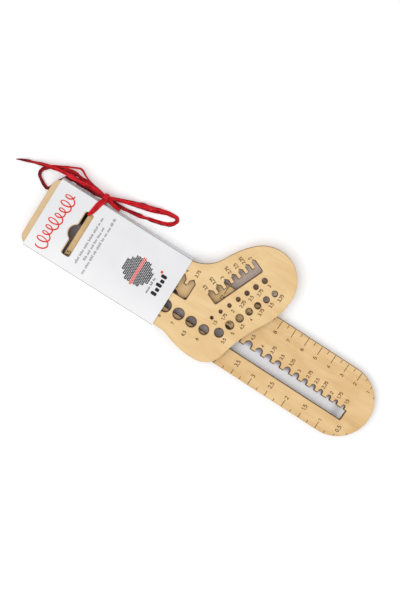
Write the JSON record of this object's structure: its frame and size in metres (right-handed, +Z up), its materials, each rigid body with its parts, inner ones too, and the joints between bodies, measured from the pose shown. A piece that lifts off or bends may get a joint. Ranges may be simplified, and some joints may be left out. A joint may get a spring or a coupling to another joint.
{
  "type": "needle gauge set",
  "caption": "Sock-shaped and ruler-shaped plywood needle gauges held in a folded card sleeve that is tied with a raffia bow through its hang slot.",
  "frame": {"origin": "under the middle of the card sleeve, on the surface that the set lies on", "axes": "+X along the sleeve towards the ruler's round end, +Y across it towards the sock's toe, +Z up, out of the printed front"},
  "size_m": [0.275, 0.0869, 0.0083],
  "materials": {
    "card": "smooth coated white card, lightly satin, printed on the front",
    "birch_light": "sanded birch plywood with laser-charred edges",
    "birch_warm": "sanded birch plywood, slightly warmer, with laser-charred edges",
    "raffia": "crumpled red paper raffia with a satin sheen",
    "engraving": "laser-scorched marks and numerals",
    "print": "flat printed ink on card"
  },
  "bodies": {
    "sleeve": {"card_sleeve": "card", "raffia_knot": "raffia", "raffia_tie_left": "raffia", "raffia_tie_right": "raffia", "raffia_loop_left": "raffia", "raffia_loop_left_thin": "raffia", "raffia_loop_right": "raffia", "raffia_loop_right_thin": "raffia", "raffia_tails": "raffia"},
    "sock": {"sock_gauge": "birch_light"},
    "ruler": {"ruler_gauge": "birch_warm"}
  },
  "joints": [
    {"name": "ruler_slide", "type": "slide", "parent": "sleeve", "child": "ruler", "axis": [0.9999, -0.0157, 0], "range_m": [0, 0.068]},
    {"name": "sock_slide", "type": "slide", "parent": "sleeve", "child": "sock", "axis": [1, 0, 0], "range_m": [-0.0017, 0.0003]}
  ]
}
